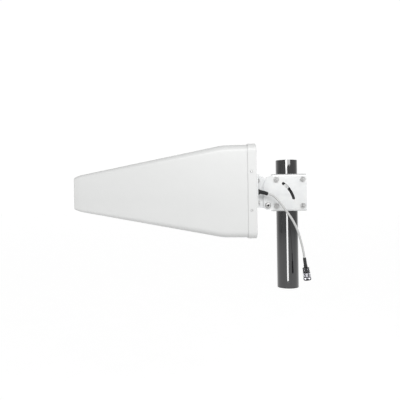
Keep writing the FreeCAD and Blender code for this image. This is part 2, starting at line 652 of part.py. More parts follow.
def make_booms():
    half = S.boom_side / 2
    inner = half - S.boom_wall
    long = S.boom_back - S.boom_front
    for name, middle, flip in (("near", NEAR_BOOM, 1), ("far", FAR_BOOM, -1)):
        low = (S.boom_front, middle - half, S.radome_up - half)
        high = (S.boom_back, middle + half, S.radome_up + half)
        bore = box((S.boom_front, middle - inner, S.radome_up - inner),
                   (S.boom_back, middle + inner, S.radome_up + inner))
        screw_hole = S.spacer_screw + S.thread_gap
        through = [cylinder(screw_hole, S.boom_side + 2, (x, middle - half - 1, SPACER_SCREW_UP), "+Y")
                   for x in SPACERS]
        node(f"{name}_boom", cut(box(low, high), bore, *through))
        rods = []
        for i in range(DIPOLES):
            x, reach = dipole(i)
            up = flip * (-1) ** i
            turn = "+Z" if up > 0 else "-Z"
            rods.append(cylinder(S.rod_thin, reach - half, (x, middle, S.radome_up + half * up), turn))
        node(f"{name}_boom_elements", group(*rods))


def make_boom_fittings():
    half = S.boom_side / 2
    gap = S.boom_gap / 2
    top = S.radome_up + half
    blocks = []
    screws = []
    for x in SPACERS:
        at = (x, S.radome_mid - gap, SPACER_SCREW_UP)
        low = (x - S.spacer_long / 2, S.radome_mid - gap, S.radome_up - half)
        high = (x + S.spacer_long / 2, S.radome_mid + gap, S.radome_up + half)
        blocks.append(cut(box(low, high), cylinder(S.spacer_screw + S.thread_gap, S.boom_gap, at, "+Y")))
        head_at = (x, NEAR_BOOM - half, SPACER_SCREW_UP)
        shank = cylinder(S.spacer_screw, 2 * S.boom_side + S.boom_gap, head_at, "+Y")
        screws.append(fuse(shank, cylinder(S.small_head, S.small_head_high, head_at, "-Y")))
    node("boom_spacers", group(*blocks))
    node("spacer_screws", group(*screws))
    node("rear_shorting_block", box((S.boom_back - S.shorting_long, S.radome_mid - gap, S.radome_up - half),
                                    (S.boom_back, S.radome_mid + gap, S.radome_up + half)))
    backing_front = S.cap_back - S.cap_wall - S.backing_thick
    backing = box((backing_front, S.radome_mid - S.backing_half_wide, S.arm_bolt_up - S.backing_half_high),
                  (backing_front + S.backing_thick, S.radome_mid + S.backing_half_wide,
                   S.arm_bolt_up + S.backing_half_high))
    taps = [cylinder(S.rod_radius + S.thread_gap, S.backing_thick, (backing_front, S.radome_mid, up), "+X")
            for up in ARM_BOLT_HEIGHTS]
    port = cylinder(S.backing_port, S.backing_thick, (backing_front, S.radome_mid, S.arm_bolt_up), "+X")
    node("backing_plate", cut(backing, port, *taps))
    thick = S.foot_thick
    foot_front = backing_front - thick
    shelf = box((S.shelf_front, NEAR_BOOM - half, top), (backing_front, FAR_BOOM + half, top + thick))
    foot = box((foot_front, NEAR_BOOM - half, top), (backing_front, FAR_BOOM + half, top + S.foot_high))
    clear = cylinder(S.clear_hole, thick, (foot_front, S.radome_mid, ARM_BOLT_HEIGHTS[0]), "+X")
    places = [(x, y) for x in (S.shelf_screw_front, S.shelf_screw_back) for y in (NEAR_BOOM, FAR_BOOM)]
    drilled = [cylinder(S.shelf_hole, thick, (x, y, top)) for x, y in places]
    first_rod = cylinder(S.rod_thin + S.rod_clear, thick, (dipole(0)[0], NEAR_BOOM, top))
    node("boom_bracket", cut(fuse(shelf, foot), clear, *drilled, first_rod))
    shelf_screws = []
    for x, y in places:
        head = cylinder(S.shelf_screw_head, S.shelf_screw_head_high, (x, y, top + thick))
        shelf_screws.append(fuse(head, cylinder(S.shelf_screw, thick, (x, y, top + thick), "-Z")))
    node("boom_bracket_screws", group(*shelf_screws))
    inner = half - S.boom_wall
    front = S.boom_front - S.end_plug_proud
    for name, middle, bore in (("insulating_end_plug", NEAR_BOOM, S.coax_stripped + S.coax_gap),
                               ("conducting_end_plug", FAR_BOOM, S.feed_screw_radius + S.thread_gap)):
        solid = box((front, middle - inner, S.radome_up - inner),
                    (front + S.end_plug_long, middle + inner, S.radome_up + inner))
        node(name, cut(solid, cylinder(bore, S.end_plug_long, (front, middle, S.radome_up), "+X")))
    bridge_front = front - S.bridge_thick
    bridge = box((bridge_front, NEAR_BOOM - inner, S.radome_up - inner),
                 (front, FAR_BOOM + inner, S.radome_up + inner))
    screw_at = (bridge_front, FAR_BOOM, S.radome_up)
    node("feed_bridge", cut(bridge, cylinder(S.feed_screw_radius + S.thread_gap, S.bridge_thick, screw_at, "+X")))
    node("feed_screw", fuse(cylinder(S.feed_screw_radius, S.feed_screw_long, screw_at, "+X"),
                            cylinder(2 * S.feed_screw_radius, S.small_head_high, screw_at, "-X")))
    support = body_of("nose_support")
    sketch = rounded_rectangle(sketch_on(support, "YZ_Plane", S.support_front), MIDDLE, S.support_wide,
                               S.support_high, S.support_corner)
    pad(support, sketch, S.support_thick)
    window = sketch_on(support, "YZ_Plane", S.support_front + S.support_thick + 1)
    wide = half * 2 + gap + S.window_gap
    outline(window, [(S.radome_mid + a * wide, S.radome_up + b * (half + S.window_gap))
                     for a, b in ((1, 1), (-1, 1), (-1, -1), (1, -1))])
    pocket(support, window, S.support_thick + 2)


# --- gland, cable and plug -----------------------------------------------------------------------

GLAND_FACE = (S.gland_face, S.radome_mid, S.arm_bolt_up)
PIGTAIL_ROUTE = [(-52, -50.2, 219.2), (-44.3, -50.3, 217.1), (-37.1, -51.2, 212.6), (-30.3, -52.3, 205.3),
                 (-22.5, -53.6, 195.2), (-12, -54.8, 180.5), (1.5, -55.5, 160.5), (12.5, -55.3, 138),
                 (19.5, -54.2, 113.5), (25.7, -52.5, 87.9), (27.3, -52.5, 75)]
BOOT_END = Vector(*PIGTAIL_ROUTE[0])
PLUG_TOP = PIGTAIL_ROUTE[-1]
PLUG_AXIS = Vector(*PLUG_TOP) - Vector(*PIGTAIL_ROUTE[-2])


def make_gland_and_cable():
    """The gland holds the coax where it passes the rear cap. A rubber boot leads it away."""
    across = S.cap_back
    bore = S.coax_stripped + S.coax_gap
    thread_end = S.cap_wall + S.backing_thick + 1
    face = S.gland_face - across
    nut_end = -S.cap_wall - S.gland_nut_thick
    profile = [(bore, -thread_end), (S.gland_radius, -thread_end), (S.gland_radius, nut_end), (S.gland_nut, nut_end),
               (S.gland_nut, -S.cap_wall), (S.gland_radius, -S.cap_wall), (S.gland_radius, 0), (S.gland_dome, 0),
               (S.gland_dome, face - 1), (S.gland_lip, face), (bore, face)]
    turned("cable_gland", profile, (across, S.radome_mid, S.arm_bolt_up), "+X")
    start = Vector(*map(float, GLAND_FACE))
    lean = FreeCAD.Rotation(Vector(0, 0, 1), BOOT_END - start)
    long = Size((BOOT_END - start).Length)
    boot = [(0, 0), (S.boot_base, 0), (S.boot_base, S.boot_collar), (S.boot_waist, S.boot_waist_from),
            (S.boot_waist, S.boot_waist_to), (S.boot_neck, long), (0, long)]
    turned("gland_boot", boot, GLAND_FACE, lean)
    inside = [(across - thread_end, S.radome_mid, S.arm_bolt_up),
              (across - thread_end - S.feed_lead, S.radome_mid, S.arm_bolt_up),
              (S.boom_back - S.feed_turn, NEAR_BOOM, S.radome_up),
              (S.boom_front - S.end_plug_proud, NEAR_BOOM, S.radome_up)]
    routed_tube(inside, S.coax_stripped, "feed_coax")
    routed_tube(PIGTAIL_ROUTE, S.coax_radius, "pigtail_cable")


def make_plug():
    """N-type plug on the pigtail, its pieces along one axis from the top of its boot."""
    turn = FreeCAD.Rotation(Vector(0, 0, 1), PLUG_AXIS)
    start = S.plug_boot_long
    shell_end = start + S.plug_body_long
    nut_top = shell_end + S.nut_play
    neck_end = nut_top + S.nut_wall + S.nut_play
    flange_end = neck_end + S.plug_flange_long
    sleeve_end = flange_end + S.sleeve_long
    turned("plug_boot", [(0, 0), (S.plug_boot_top, 0), (S.plug_boot_waist, start - S.plug_boot_step),
                         (S.plug_boot_low, start - S.plug_boot_ring), (S.plug_boot_low, start), (0, start)],
           PLUG_TOP, turn)
    r = S.plug_body_radius
    chamfer = S.plug_chamfer
    groove = start + S.plug_groove_at
    deep = S.plug_groove
    flange = S.nut_inner - S.plug_flange_in
    body = [(0, start), (r - chamfer, start), (r, start + chamfer), (r, groove), (r - deep, groove + deep),
            (r - deep, groove + 2 * deep), (r, groove + 3 * deep), (r, shell_end), (S.nut_neck, shell_end),
            (S.nut_neck, neck_end), (flange, neck_end), (flange, flange_end), (S.contact_outer, flange_end),
            (S.contact_outer, sleeve_end), (S.contact_inner, sleeve_end), (S.contact_inner, neck_end), (0, neck_end)]
    turned("plug_body", body, PLUG_TOP, turn)
    pin = S.contact_pin
    insulator_end = sleeve_end - S.insulator_short
    pin_end = sleeve_end - S.pin_point
    turned("plug_insulator", [(pin, neck_end), (S.contact_inner, neck_end), (S.contact_inner, insulator_end),
                              (pin, insulator_end)], PLUG_TOP, turn)
    turned("plug_contact_pin", [(0, neck_end), (pin, neck_end), (pin, sleeve_end - S.pin_short),
                                (S.pin_point, pin_end), (0, pin_end)], PLUG_TOP, turn)
    seal = flange - S.plug_groove
    turned("plug_seal_ring", [(S.contact_outer, flange_end), (seal, flange_end), (seal, flange_end + S.seal_thick),
                              (S.contact_outer, flange_end + S.seal_thick)], PLUG_TOP, turn)
    wide = S.nut_outer
    shoulder = wide - S.nut_step
    waist = wide - S.nut_groove
    bore = S.nut_neck + S.nut_bore_gap
    ring = nut_top + S.nut_ring_at
    end = nut_top + S.nut_long
    turned("coupling_nut", [(bore, nut_top), (shoulder - 1, nut_top), (shoulder, nut_top + 1), (shoulder, ring),
                            (waist, ring + S.nut_step), (waist, ring + S.nut_groove), (wide, ring + 2 * S.nut_groove),
                            (wide, end - S.nut_chamfer), (wide - S.nut_chamfer, end), (S.nut_inner, end),
                            (S.nut_inner, nut_top + S.nut_wall), (bore, nut_top + S.nut_wall)], PLUG_TOP, turn)


make_mast()
make_mast_bracket()
make_u_bolts()
make_pivot()
make_antenna_arm()
make_arm_bolts()
make_radome()
make_rear_cap()
make_booms()
make_boom_fittings()
make_gland_and_cable()
make_plug()
doc.recompute()

for thing in doc.Objects:
    if "Invalid" in thing.State or "Error" in thing.State:
        raise ValueError(f"{thing.Name} ({thing.Label}) is {thing.State}")
for piece in NODES:
    if piece.Shape.isNull() or not piece.Shape.isValid() or piece.Shape.Volume <= 0:
        raise ValueError(f"{piece.Label} has no valid shape")

os.makedirs("parts", exist_ok=True)
for piece in NODES:
    piece.Shape.exportStep(f"parts/{piece.Label}.step")
    bounds = piece.Shape.BoundBox
    print(f"{piece.Label}: {len(piece.Shape.Solids)} solids, {piece.Shape.Volume:.0f} mm3, "
          f"X {bounds.XMin:.1f}..{bounds.XMax:.1f} Y {bounds.YMin:.1f}..{bounds.YMax:.1f} "
          f"Z {bounds.ZMin:.1f}..{bounds.ZMax:.1f}")
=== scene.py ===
"""Looks for a log-periodic antenna in a white radome, on a tilting mast bracket, with its white pigtail.

Metres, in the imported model's frame: +Z up, the nose towards -X, the open face towards -Y. Round pieces
are shells of rings about an axis, long pieces are rings swept along a line, and sheet metal is the
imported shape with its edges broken. Sizes written in millimetres are turned to metres by MM.
"""
import bmesh
import bpy
import json
import math
from mathutils import Matrix, Vector

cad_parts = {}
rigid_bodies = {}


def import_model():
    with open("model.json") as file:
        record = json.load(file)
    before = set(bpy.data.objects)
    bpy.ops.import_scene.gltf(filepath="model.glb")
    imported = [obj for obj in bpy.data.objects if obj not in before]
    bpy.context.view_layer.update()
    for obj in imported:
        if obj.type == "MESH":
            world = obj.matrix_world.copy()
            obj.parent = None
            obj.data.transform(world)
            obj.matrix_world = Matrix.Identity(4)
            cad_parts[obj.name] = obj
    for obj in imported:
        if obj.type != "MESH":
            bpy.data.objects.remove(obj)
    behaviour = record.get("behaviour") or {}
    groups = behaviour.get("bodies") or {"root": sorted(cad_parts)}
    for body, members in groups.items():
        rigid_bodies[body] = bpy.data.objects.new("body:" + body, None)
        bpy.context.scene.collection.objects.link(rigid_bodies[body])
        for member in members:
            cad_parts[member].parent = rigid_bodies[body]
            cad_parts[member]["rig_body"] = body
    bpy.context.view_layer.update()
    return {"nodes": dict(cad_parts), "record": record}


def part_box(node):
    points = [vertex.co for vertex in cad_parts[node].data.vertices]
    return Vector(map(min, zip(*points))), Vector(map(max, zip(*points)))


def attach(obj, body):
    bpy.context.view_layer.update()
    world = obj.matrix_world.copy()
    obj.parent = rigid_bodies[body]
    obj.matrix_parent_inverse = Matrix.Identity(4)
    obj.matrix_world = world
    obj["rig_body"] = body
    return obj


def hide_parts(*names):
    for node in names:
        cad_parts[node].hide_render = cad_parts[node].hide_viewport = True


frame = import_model()
MM = 0.001


def middle(node):
    low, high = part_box(node)
    return (low + high) / 2


# --- materials -----------------------------------------------------------------------------------

def mapped(tree, fac, low, high, start, end):
    """A node's output that goes from low to high while fac goes from start to end."""
    made = tree.nodes.new("ShaderNodeMapRange")
    made.inputs["From Min"].default_value = start
    made.inputs["From Max"].default_value = end
    made.inputs["To Min"].default_value = low
    made.inputs["To Max"].default_value = high
    tree.links.new(fac, made.inputs["Value"])
    return made.outputs["Result"]


class Shader:
    """A material's node tree, with short ways to add what the surfaces share."""

    def __init__(self, name):
        self.material = bpy.data.materials.new(name)
        self.material.use_nodes = True
        self.tree = self.material.node_tree
        self.bsdf = self.tree.nodes["Principled BSDF"]
        self.place = self.add("ShaderNodeTexCoord").outputs["Object"]

    def add(self, kind, **values):
        made = self.tree.nodes.new(kind)
        for key, value in values.items():
            setattr(made, key, value)
        return made

    def link(self, start, end):
        self.tree.links.new(start, end)

    def noise(self, scale, detail=3, stretch=(1, 1, 1), roughness=0.5):
        """Noise at a scale in features per metre, stretched for brushing and moulding flow."""
        mapping = self.add("ShaderNodeMapping")
        mapping.inputs["Scale"].default_value = stretch
        self.link(self.place, mapping.inputs["Vector"])
        made = self.add("ShaderNodeTexNoise")
        made.inputs["Scale"].default_value = scale
        made.inputs["Detail"].default_value = detail
        made.inputs["Roughness"].default_value = roughness
        self.link(mapping.outputs["Vector"], made.inputs["Vector"])
        return made.outputs["Fac"]

    def between(self, fac, low, high, start=0.3, end=0.7):
        """A number that follows fac from low to high."""
        return mapped(self.tree, fac, low, high, start, end)

    def ramp(self, fac, *stops):
        made = self.add("ShaderNodeValToRGB")
        ramp = made.color_ramp
        while len(ramp.elements) < len(stops):
            ramp.elements.new(0.5)
        for element, (place, colour) in zip(ramp.elements, stops):
            element.position = place
            element.color = (*colour, 1)
        self.link(fac, made.inputs["Fac"])
        return made.outputs["Color"]

    def bumps(self, *layers):
        """Bump nodes in a chain, each a (height, strength, distance in metres)."""
        normal = None
        for height, strength, distance in layers:
            made = self.add("ShaderNodeBump")
            made.inputs["Strength"].default_value = strength
            made.inputs["Distance"].default_value = distance
            self.link(height, made.inputs["Height"])
            if normal:
                self.link(normal, made.inputs["Normal"])
            normal = made.outputs["Normal"]
        self.link(normal, self.bsdf.inputs["Normal"])

    def set(self, **values):
        for key, value in values.items():
            self.bsdf.inputs[key.replace("_", " ")].default_value = value

    def colour(self, socket):
        self.link(socket, self.bsdf.inputs["Base Color"])

    def rough(self, socket):
        self.link(socket, self.bsdf.inputs["Roughness"])


def shades(colour, spread):
    """Darker and lighter stops about a colour."""
    dark = tuple(c * (1 - spread) for c in colour)
    light = tuple(min(1, c * (1 + spread)) for c in colour)
    return (0.3, dark), (0.5, colour), (0.72, light)


def moulded(name, colour, roughness, spread=0.02, orange_peel=0.12, coat=0.0, fine=1400):
    """Injection-moulded or rubbery plastic: faint flow, a fine skin texture and a little orange peel."""
    s = Shader(name)
    flow = s.noise(9, 4, (1, 2.5, 2.5))
    skin = s.noise(fine, 2)
    s.colour(s.ramp(flow, *shades(colour, spread)))
    s.rough(s.between(s.noise(160, 4), roughness - 0.05, roughness + 0.06))
    s.bumps((s.noise(130, 2), orange_peel, 0.0004), (skin, 0.15, 0.00008))
    s.set(Coat_Weight=coat, Coat_Roughness=0.12)
    return s.material


def metal(name, colour, roughness, grain=(1, 1, 1), spread=0.04, bump=0.12, metallic=1.0):
    """Plated or brushed metal: stretched grain, patchy gloss and small marks."""
    s = Shader(name)
    lines = s.noise(900, 4, grain, 0.6)
    patches = s.noise(60, 5)
    s.colour(s.ramp(patches, *shades(colour, spread)))
    s.rough(s.between(lines, roughness * 0.75, roughness * 1.35))
    s.bumps((lines, bump, 0.00006), (s.noise(45, 3), 0.05, 0.0004))
    s.set(Metallic=metallic)
    return s.material


def plated_sheet(name):
    """Bright zinc on sheet steel, with faint rolling lines and a cloudy passivation."""
    s = Shader(name)
    cloud = s.noise(38, 5)
    lines = s.noise(500, 3, (0.08, 1, 1), 0.6)
    clouded, plain, bright = (0.72, 0.73, 0.74), (0.78, 0.79, 0.79), (0.81, 0.81, 0.80)
    s.colour(s.ramp(cloud, (0.3, clouded), (0.55, plain), (0.75, bright)))
    s.rough(s.between(lines, 0.3, 0.46))
    s.bumps((lines, 0.08, 0.00005), (s.noise(1100, 2), 0.08, 0.00004))
    s.set(Metallic=0.35)
    return s.material


def black_paint(name):
    """Powder coat on a steel tube: near black, glossy, with a fine texture and drawn lines along the tube."""
    s = Shader(name)
    drawn = s.noise(220, 3, (1, 1, 0.02))
    s.colour(s.ramp(drawn, (0.3, (0.005, 0.005, 0.0055)), (0.7, (0.010, 0.010, 0.0105))))
    s.rough(s.between(s.noise(300, 3), 0.03, 0.07))
    s.bumps((s.noise(700, 2), 0.04, 0.00005), (drawn, 0.05, 0.00006))
    s.set(Specular_IOR_Level=0.8, Coat_Weight=0.4, Coat_Roughness=0.03)
    return s.material


MATERIALS = {
    "radome_plastic": moulded("radome_plastic", (0.70, 0.705, 0.70), 0.36, 0.012),
    "cap_plastic": moulded("cap_plastic", (0.71, 0.715, 0.71), 0.36, 0.012),
    "black_rubber": moulded("black_rubber", (0.006, 0.006, 0.0065), 0.42, 0.15, 0.2, fine=2600),
    "white_insulator": moulded("white_insulator", (0.74, 0.74, 0.70), 0.5, 0.03, 0.08),
    "cable_jacket": moulded("cable_jacket", (0.54, 0.54, 0.535), 0.3, 0.02, 0.05, coat=0.15),
    "stainless": metal("stainless", (0.60, 0.60, 0.595), 0.34, (1, 1, 4), metallic=0.85),
    "plated_steel": plated_sheet("plated_steel"),
    "boom_aluminium": metal("boom_aluminium", (0.80, 0.81, 0.82), 0.32, (0.05, 1, 1), 0.03),
    "contact_brass": metal("contact_brass", (0.83, 0.62, 0.26), 0.25, (1, 1, 1)),
    "gland_nickel": metal("gland_nickel", (0.78, 0.77, 0.74), 0.26, (4, 1, 1), 0.03),
    # The plug's plating gets a near-black colour that stands in for the dark surroundings it reflects:
    # painted shade, with highlights left to the plug's own lamps.
    "dark_chrome": metal("dark_chrome", (0.075, 0.075, 0.08), 0.13, (1, 1, 1), 0.06, 0.03),
    "mast_black": black_paint("mast_black"),
}
NODE_SLOT = {row["node"]: row["material_slot"] for row in frame["record"]["subparts"]}


def paint(piece, slot):
    piece.data.materials.clear()
    piece.data.materials.append(MATERIALS[slot])


for node_name, cad_piece in frame["nodes"].items():
    paint(cad_piece, NODE_SLOT[node_name])


# --- mesh making ---------------------------------------------------------------------------------

EDGE_ANGLE = 35
CHAMFER_SLOPE = math.radians(32)


def finished(name, mesh, slot, body, *replaced, sharp=EDGE_ANGLE):
    """Puts a mesh in the scene, on its body and in place of CAD nodes.

    It is smooth but for edges where the faces meet at more than sharp, in degrees.
    """
    piece = bpy.data.objects.new(name, mesh)
    bpy.context.scene.collection.objects.link(piece)
    if isinstance(mesh, bpy.types.Mesh):
        mesh.shade_smooth()
        mesh.set_sharp_from_angle(angle=math.radians(sharp))
    paint(piece, slot)
    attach(piece, body)
    if replaced:
        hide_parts(*replaced)
    return piece


def ring_shell(rings, closed=False):
    """A mesh of quads between rings of points. Its ends are capped, or its last ring joins its first."""
    mesh = bpy.data.meshes.new("shell")
    build = bmesh.new()
    rows = [[build.verts.new(p) for p in ring] for ring in rings]
    count = len(rows[0])
    pairs = list(zip(rows, rows[1:])) + ([(rows[-1], rows[0])] if closed else [])
    for near, far in pairs:
        for i in range(count):
            j = (i + 1) % count
            build.faces.new((near[i], near[j], far[j], far[i]))
    if not closed:
        for row, ring in ((rows[0], rings[0]), (rows[-1], rings[-1])):
            hub = build.verts.new(sum(ring, Vector()) / count)
            for i in range(count):
                build.faces.new((row[i], row[(i + 1) % count], hub))
    bmesh.ops.recalc_face_normals(build, faces=build.faces)
    build.to_mesh(mesh)
    build.free()
    return mesh


def joined(meshes):
    """One mesh of several separate shells."""
    build = bmesh.new()
    for mesh in meshes:
        build.from_mesh(mesh)
        bpy.data.meshes.remove(mesh)
    mesh = bpy.data.meshes.new("joined")
    build.to_mesh(mesh)
    build.free()
    return mesh


def axis_frame(at, along):
    """A matrix whose Z runs along the given direction, from the given point."""
    turn = Vector(along).to_track_quat("Z", "Y")
    return Matrix.Translation(Vector(at)) @ turn.to_matrix().to_4x4()


def lathe(levels, at, along, sides=96, closed=False):
    """Rings about an axis, one for each level.

    A level is (distance along the axis, radius), the radius a number or a function of the angle.
    """
    place = axis_frame(at, along)
    rings = []
    for distance, radius in levels:
        ring = []
        for i in range(sides):
            angle = 2 * math.pi * i / sides
            r = radius(angle) if callable(radius) else radius
            ring.append(place @ Vector((r * math.cos(angle), r * math.sin(angle), distance)))
        rings.append(ring)
    return ring_shell(rings, closed)


def hexagonal(apothem, limit):
    """The radius of a hexagon's side at an angle, cut off at a limit."""
    def radius(angle):
        part = angle % (math.pi / 3) - math.pi / 6
        return min(apothem / math.cos(part), limit)
    return radius


def chamfered_hex(apothem, high, steps=4):
    """Levels of a hexagon with the usual turned chamfer on both faces."""
    corner = apothem / math.cos(math.pi / 6) - apothem
    deep = corner * math.tan(CHAMFER_SLOPE)
    lower = [(deep * i / steps, hexagonal(apothem, apothem + corner * i / steps)) for i in range(steps + 1)]
    upper = [(high - distance, radius) for distance, radius in reversed(lower)]
    return lower + upper


def hex_nut(apothem, high, bore, at, along, pitch=1.0 * MM):
    """A nut with chamfered faces and a threaded bore."""
    flare = 0.35 * MM
    deep = 0.25 * MM
    half_turns = int((high - 2 * flare) / pitch * 2)
    thread = [(high - flare - pitch / 2 * i, bore + (deep if i % 2 else 0)) for i in range(half_turns + 1)]
    levels = [(0, bore + flare), *chamfered_hex(apothem, high), (high, bore + flare), *thread]
    return lathe(levels, at, along, closed=True)


def sides_along(points):
    """Two directions across a line at each of its points, without twist."""
    found = []
    side = None
    for i in range(len(points)):
        ahead = points[min(i + 1, len(points) - 1)]
        behind = points[max(i - 1, 0)]
        direction = (ahead - behind).normalized()
        if side is None:
            side = direction.orthogonal().normalized()
        side = (side - direction * side.dot(direction)).normalized()
        found.append((side, direction.cross(side)))
    return found


def swept(points, radius_at, sides=48):
    """Rings along a line, with a radius that follows the distance along it."""
    rings = []
    run = 0.0
    for i, (point, (side, other)) in enumerate(zip(points, sides_along(points))):
        run += (point - points[i - 1]).length if i else 0
        radius = radius_at(run)
        ring = []
        for k in range(sides):
            angle = 2 * math.pi * k / sides
            ring.append(point + (side * math.cos(angle) + other * math.sin(angle)) * radius)
        rings.append(ring)
    return ring_shell(rings)


def softened(node, width, name, segments=2):
    """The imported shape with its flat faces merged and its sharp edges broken."""
    source = frame["nodes"][node]
    mesh = source.data.copy()
    build = bmesh.new()
    build.from_mesh(mesh)
    flat = math.radians(0.6)
    bmesh.ops.remove_doubles(build, verts=build.verts, dist=1e-6)
    bmesh.ops.dissolve_limit(build, angle_limit=flat, verts=build.verts, edges=build.edges)
    least = math.radians(EDGE_ANGLE)
    edges = [e for e in build.edges if len(e.link_faces) == 2 and e.calc_face_angle(0) > least]
    bmesh.ops.bevel(build, geom=edges, offset=width, segments=segments, affect="EDGES", profile=0.5,
                    clamp_overlap=True)
    build.to_mesh(mesh)
    build.free()
    piece = finished(name, mesh, NODE_SLOT[node], source["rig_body"], node)
    piece.modifiers.new("flat_faces", "WEIGHTED_NORMAL").keep_sharp = True
    return piece


# --- the pigtail and what is on it ---------------------------------------------------------------

PIGTAIL_ROUTE = [
    (-52, -50.2, 219.2), (-44.3, -50.3, 217.1), (-37.1, -51.2, 212.6), (-30.3, -52.3, 205.3),
    (-22.5, -53.6, 195.2), (-12, -54.8, 180.5), (1.5, -55.5, 160.5), (12.5, -55.3, 138),
    (19.5, -54.2, 113.5), (25.7, -52.5, 87.9), (27.3, -52.5, 75),
]
PIGTAIL_RADIUS = 2.5 * MM
GLAND_FACE = Vector((-74, -50, 224)) * MM
PLUG_TOP = Vector(PIGTAIL_ROUTE[-1]) * MM
PLUG_AXIS = (Vector(PIGTAIL_ROUTE[-1]) - Vector(PIGTAIL_ROUTE[-2])).normalized()
FLUTES = 10
NUT_TURN = math.radians(47.9)


def in_mm(*levels):
    """Levels of a lathe from millimetres. A radius that is a function of the angle is in metres already."""
    return [(distance * MM, radius if callable(radius) else radius * MM) for distance, radius in levels]


def make_pigtail():
    line = bpy.data.curves.new("pigtail", "CURVE")
    line.dimensions = "3D"
    spline = line.splines.new("NURBS")
    spline.points.add(len(PIGTAIL_ROUTE) - 1)
    for point, place in zip(spline.points, PIGTAIL_ROUTE):
        point.co = (*(Vector(place) * MM), 1)
    spline.order_u = 3
    spline.use_endpoint_u = True
    line.resolution_u = 24
    line.bevel_depth = PIGTAIL_RADIUS
    line.bevel_resolution = 8
    line.use_fill_caps = True
    return finished("pigtail", line, "cable_jacket", "antenna", "pigtail_cable")


def make_gland_boot():
    """A rubber boot that droops from the gland's face to the pigtail, with bellows where it bends."""
    end = Vector(PIGTAIL_ROUTE[0]) * MM
    lead = (Vector(PIGTAIL_ROUTE[1]) * MM - end).normalized()
    start_pull = GLAND_FACE + Vector((9, 0, 0)) * MM
    end_pull = end - lead * 8 * MM
    count = 120
    points = []
    for i in range(count + 1):
        t = i / count
        s = 1 - t
        from_start = GLAND_FACE * s ** 3 + start_pull * 3 * s * s * t
        points.append(from_start + end_pull * 3 * s * t * t + end * t ** 3)
    long = sum((b - a).length for a, b in zip(points, points[1:]))
    collar, collar_end = 6.1, 0.12
    step, step_share = 1.5, 0.1
    bellows, bellows_start, bellows_end = 9, 0.25, 0.93
    rib_deep, taper = 0.28, 0.9
    lip_deep, lip_start, lip_end = 0.6, 0.01, 0.985

    def radius(run):
        """The boot's radius, where the ends and starts above are shares of its length."""
        part = run / long
        here = collar - step * min(1, max(0, part - collar_end) / step_share)
        here -= taper * max(0, part - bellows_start)
        if bellows_start < part < bellows_end:
            here += rib_deep * math.cos(2 * math.pi * part * bellows)
        if part < lip_start or part > lip_end:
            here -= lip_deep
        return here * MM

    finished("gland_boot_moulding", swept(points, radius), "black_rubber", "antenna", "gland_boot", sharp=50)


def fluted(radius, deep):
    """A round section with grooves along it."""
    return lambda angle: (radius - deep * max(0, math.cos(angle * FLUTES)) ** 2) * MM


def flatted(radius, flat, turn, notch=0.0):
    """A round section with six flats milled on it, and a notch of that depth along each corner."""
    half = math.pi / 6
    notch_reach = 0.1

    def section(angle):
        part = (angle + turn) % (2 * half) - half
        from_corner = half - abs(part)
        groove = notch * max(0, 1 - from_corner / notch_reach)
        return (min(radius, flat / math.cos(part)) - groove) * MM
    return section


def make_plug():
    """The fluted boot on the cable, and the plug's body with its flats and its contact sleeve."""
    boot = in_mm((0, 2.7), (0.3, 3.2), (1.2, 3.5), (2, 3.5), (3, fluted(3.55, 0.28)),
                 (13.2, fluted(3.7, 0.3)), (14.4, 3.72), (14.8, 3.45), (15.5, 3.45), (15.9, 3.8),
                 (16.4, 4.05), (21.8, 4.1), (22.2, 3.9))
    boot_mesh = lathe(boot, PLUG_TOP, PLUG_AXIS, 120)
    boot_piece = finished("plug_boot_moulding", boot_mesh, "black_rubber", "antenna", "plug_boot", sharp=40)
    flats = flatted(7.5, 6.9, math.pi / 6)
    nut_end = [(22.2, 4.2), (22.2, 6.5), (22.5, 6.9), (23, flats), (26.0, flats), (26.3, 7.0)]
    barrel = [(26.6, 6.75), (27.6, 6.75), (28, 7.2), (28.3, 7.5), (31.8, 7.5), (32.2, 7.35), (32.6, 6.9)]
    neck = [(32.7, 6), (36.7, 6), (36.7, 7.0), (36.9, 7.2), (38, 7.2), (38.2, 7.0)]
    sleeve = [(38.2, 4.1), (44.2, 4.1), (44.5, 3.95), (44.5, 3.5), (36.8, 3.5)]
    body_mesh = lathe(in_mm(*nut_end, *barrel, *neck, *sleeve), PLUG_TOP, PLUG_AXIS, 144)
    body_piece = finished("plug_shell", body_mesh, "dark_chrome", "antenna", "plug_body")
    return boot_piece, body_piece


def make_coupling_nut():
    """Spanner flats at its top, a groove, then a rounded sleeve with shallow scallops, threaded inside."""
    hexagon = flatted(9.1, 8.0, NUT_TURN, notch=0.9)
    scallops = flatted(9.1, 8.6, NUT_TURN, notch=0.7)
    mouth, thread_top, half_pitch = 49.8, 37, 0.45
    crest, root = 7.4, 7.7
    count = int((mouth - thread_top) / half_pitch)
    thread = [(mouth - half_pitch * i, crest if i % 2 else root) for i in range(count)]
    spanner_end = [(33.0, 6.1), (33.0, 7.4), (33.4, 7.95), (34.1, hexagon), (43.0, hexagon), (43.4, 8.1)]
    groove = [(43.6, 7.9), (44.6, 7.9), (44.9, 8.3)]
    sleeve = [(45.2, scallops), (47.6, scallops), (48.8, 8.75), (49.7, 8.4), (50.3, 8.1), (50.8, 7.8)]
    inside = [*thread, (thread_top - 0.6, root), (36.4, root), (36.4, 6.1)]
    levels = in_mm(*spanner_end, *groove, *sleeve, *inside)
    shell = lathe(levels, PLUG_TOP, PLUG_AXIS, 144, closed=True)
    return finished("coupling_nut_shell", shell, "dark_chrome", "coupling_nut", "coupling_nut", sharp=28)


pigtail = make_pigtail()
make_gland_boot()
plug_pieces = [*make_plug(), make_coupling_nut()]


# --- the radome ----------------------------------------------------------------------------------

RADOME_UP = 226  # in millimetres
RADOME_MIDDLE = (-50 * MM, RADOME_UP * MM)
RADOME_WALL = 2.5 * MM
NOSE_ROUND = 2.2 * MM
NOSE_FLAT = 0.4 * MM
CAP_SCREW_SPREAD = 42.5  # in millimetres


